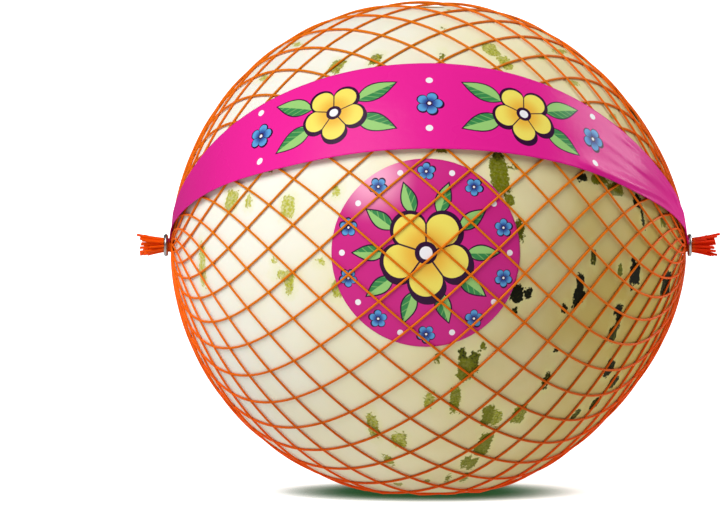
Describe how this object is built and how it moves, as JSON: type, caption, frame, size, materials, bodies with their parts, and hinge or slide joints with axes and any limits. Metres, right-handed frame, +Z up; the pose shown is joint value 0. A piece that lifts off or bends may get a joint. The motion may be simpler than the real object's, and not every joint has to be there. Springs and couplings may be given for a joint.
{
  "type": "netted melon",
  "caption": "Whole round ivory melon with green flecks, held in a diamond net gathered at both sides, with a film band over the net and a round sticker under it.",
  "frame": {"origin": "on the surface the melon rests on, under its middle, at the centre of the net's flattened underside", "axes": "+X from the left clip to the right clip, -Y to the front with the sticker and the band, +Z up towards the stem end"},
  "size_m": [0.186, 0.1652, 0.1581],
  "materials": {
    "rind": "smooth ivory fruit rind with a soft sheen and granular green flecks",
    "net_plastic": "extruded orange polyethylene strands, glossy",
    "clip_steel": "plain steel wire",
    "band_film": "printed magenta plastic film",
    "sticker_film": "printed magenta label with a soft gloss"
  },
  "bodies": {
    "root": {"melon": "rind", "net": "net_plastic", "clip_left": "clip_steel", "clip_right": "clip_steel", "band": "band_film", "sticker": "sticker_film"}
  },
  "joints": []
}
